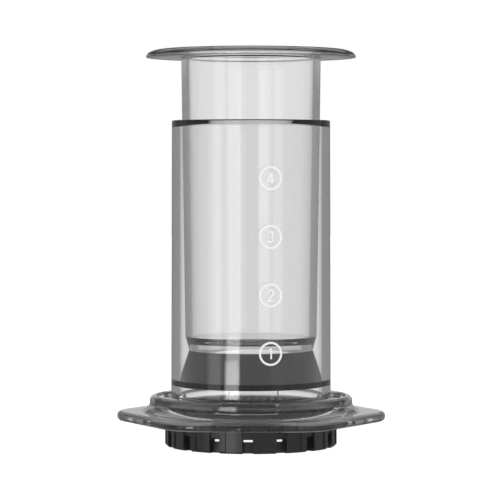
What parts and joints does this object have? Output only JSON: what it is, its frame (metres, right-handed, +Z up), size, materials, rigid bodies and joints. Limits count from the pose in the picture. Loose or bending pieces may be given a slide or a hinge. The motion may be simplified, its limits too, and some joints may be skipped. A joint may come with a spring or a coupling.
{
  "type": "piston coffee press",
  "caption": "Clear plastic coffee press: a plunger with a round hand flange and rubber seal slides in a hex-footed chamber closed by a ribbed black twist-on filter cap.",
  "frame": {"origin": "on the axis, in the plane of the filter cap's bottom edge, which stands on the table", "axes": "+Z up along the chamber and plunger axis, +X through two corners of the hexagonal plate, -Y towards the viewer"},
  "size_m": [0.11, 0.0998, 0.1622],
  "materials": {
    "clear_plastic": "polished transparent copolyester with a faint grey tone",
    "seal_rubber": "satin dark grey moulded rubber",
    "cap_plastic": "satin black moulded plastic"
  },
  "bodies": {
    "chamber": {"chamber": "clear_plastic"},
    "plunger": {"plunger": "clear_plastic", "seal": "seal_rubber"},
    "filter_cap": {"filter_cap": "cap_plastic"}
  },
  "joints": [
    {"name": "plunger_slide", "type": "slide", "parent": "chamber", "child": "plunger", "axis": [0, 0, 1], "range_m": [-0.007, 0.11]},
    {"name": "cap_twist", "type": "hinge", "parent": "chamber", "child": "filter_cap", "pos_m": [0, 0, 0.017], "axis": [0, 0, 1], "range_deg": [-45, 0]}
  ]
}
